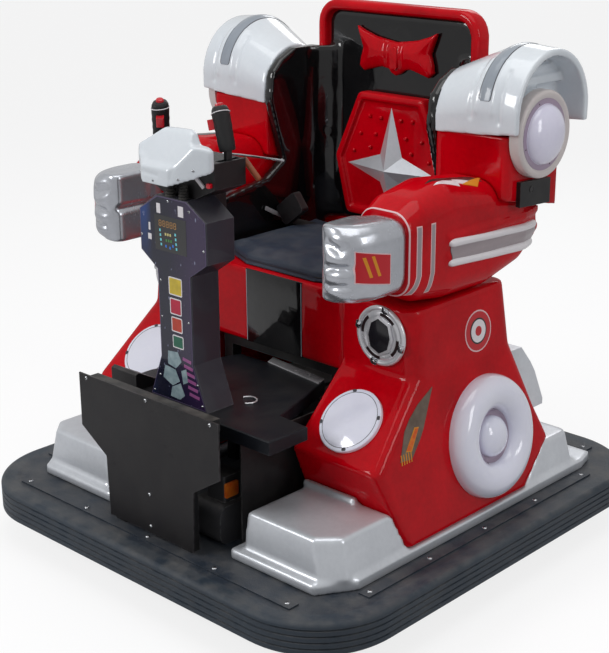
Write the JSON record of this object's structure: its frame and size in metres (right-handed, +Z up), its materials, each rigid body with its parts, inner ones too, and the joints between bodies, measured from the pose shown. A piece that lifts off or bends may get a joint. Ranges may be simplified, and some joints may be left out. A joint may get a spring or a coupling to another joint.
{
  "type": "robot-shaped bumper car",
  "caption": "Sit-on battery bumper car shaped like a seated robot: rubber-edged base on wheels, red legs and arms, seat, and a column with two drive levers.",
  "frame": {"origin": "on the ground below the middle of the base", "axes": "+Z up, the front with the control column faces -Y, +X towards the driver's left"},
  "size_m": [1.27, 1.304, 1.323],
  "materials": {
    "bumper_black": "satin moulded rubber",
    "deck_slate": "textured dark slate paint",
    "frame_black": "black enamel",
    "motor_grey": "grey enamel",
    "tyre_black": "solid rubber tread",
    "zinc": "zinc plated",
    "caster_grey": "grey rubber",
    "silver": "silver metallic paint on moulded fibreglass",
    "gloss_red": "glossy red gelcoat on moulded fibreglass",
    "gloss_black": "glossy black gelcoat",
    "pad_white": "glossy white gelcoat",
    "lamp_white": "translucent white lamp cover",
    "chrome": "bright chrome",
    "vinyl": "dark slate vinyl",
    "panel_black": "black satin powder coat",
    "column_slate": "dark slate powder coat",
    "display_black": "black display window",
    "grip_black": "black moulded grip",
    "battery_grey": "grey battery case"
  },
  "bodies": {
    "chassis": {"arm_left": "gloss_red", "arm_right": "gloss_red", "back_panel": "gloss_red", "backrest_liner": "gloss_black", "backrest_shell": "gloss_red", "batteries": "battery_grey", "bay_frame": "frame_black", "bay_unit": "motor_grey", "bumper_rubber": "bumper_black", "calf_panels": "silver", "chassis_frame": "frame_black", "column": "column_slate", "column_cover": "pad_white", "deck": "deck_slate", "display": "display_black", "drive_motors": "motor_grey", "edge_strips": "deck_slate", "fist_left": "silver", "fist_right": "silver", "foot_left": "silver", "foot_right": "silver", "front_plate": "panel_black", "headrest_emblem": "gloss_red", "hubs": "chrome", "leg_shell_left": "gloss_red", "leg_shell_right": "gloss_red", "lever_console": "panel_black", "pedal": "panel_black", "platform": "panel_black", "rear_panel": "panel_black", "ring_lamps": "lamp_white", "seat_belt": "panel_black", "seat_cushion": "vinyl", "seat_frame": "frame_black", "seat_tub": "gloss_red", "shin_lamps": "lamp_white", "shoulder_brackets": "frame_black", "shoulder_lamps": "lamp_white", "shoulder_left": "gloss_red", "shoulder_pad_left": "pad_white", "shoulder_pad_right": "pad_white", "shoulder_right": "gloss_red", "star": "silver"},
    "caster_fork_front": {"caster_fork_front": "zinc"},
    "caster_fork_rear": {"caster_fork_rear": "zinc"},
    "caster_wheel_front": {"caster_wheel_front": "caster_grey"},
    "caster_wheel_rear": {"caster_wheel_rear": "caster_grey"},
    "drive_wheel_left": {"drive_wheel_left": "tyre_black"},
    "drive_wheel_right": {"drive_wheel_right": "tyre_black"},
    "lever_left": {"lever_left": "grip_black"},
    "lever_right": {"lever_right": "grip_black"}
  },
  "joints": [
    {"name": "drive_wheel_left_spin", "type": "hinge", "parent": "chassis", "child": "drive_wheel_left", "pos_m": [0.43, 0, 0.062], "axis": [1, 0, 0], "continuous": true},
    {"name": "drive_wheel_right_spin", "type": "hinge", "parent": "chassis", "child": "drive_wheel_right", "pos_m": [-0.43, 0, 0.062], "axis": [1, 0, 0], "continuous": true},
    {"name": "caster_front_swivel", "type": "hinge", "parent": "chassis", "child": "caster_fork_front", "pos_m": [0, -0.43, 0.08], "axis": [0, 0, 1], "continuous": true},
    {"name": "caster_front_spin", "type": "hinge", "parent": "caster_fork_front", "child": "caster_wheel_front", "pos_m": [0, -0.398, 0.038], "axis": [1, 0, 0], "continuous": true},
    {"name": "caster_rear_swivel", "type": "hinge", "parent": "chassis", "child": "caster_fork_rear", "pos_m": [0, 0.43, 0.08], "axis": [0, 0, 1], "continuous": true},
    {"name": "caster_rear_spin", "type": "hinge", "parent": "caster_fork_rear", "child": "caster_wheel_rear", "pos_m": [0, 0.462, 0.038], "axis": [1, 0, 0], "continuous": true},
    {"name": "lever_left_tilt", "type": "hinge", "parent": "chassis", "child": "lever_left", "pos_m": [0.104, -0.385, 1.012], "axis": [1, 0, 0], "range_deg": [-20, 8]},
    {"name": "lever_right_tilt", "type": "hinge", "parent": "chassis", "child": "lever_right", "pos_m": [-0.104, -0.385, 1.012], "axis": [1, 0, 0], "range_deg": [-30, 0]}
  ]
}
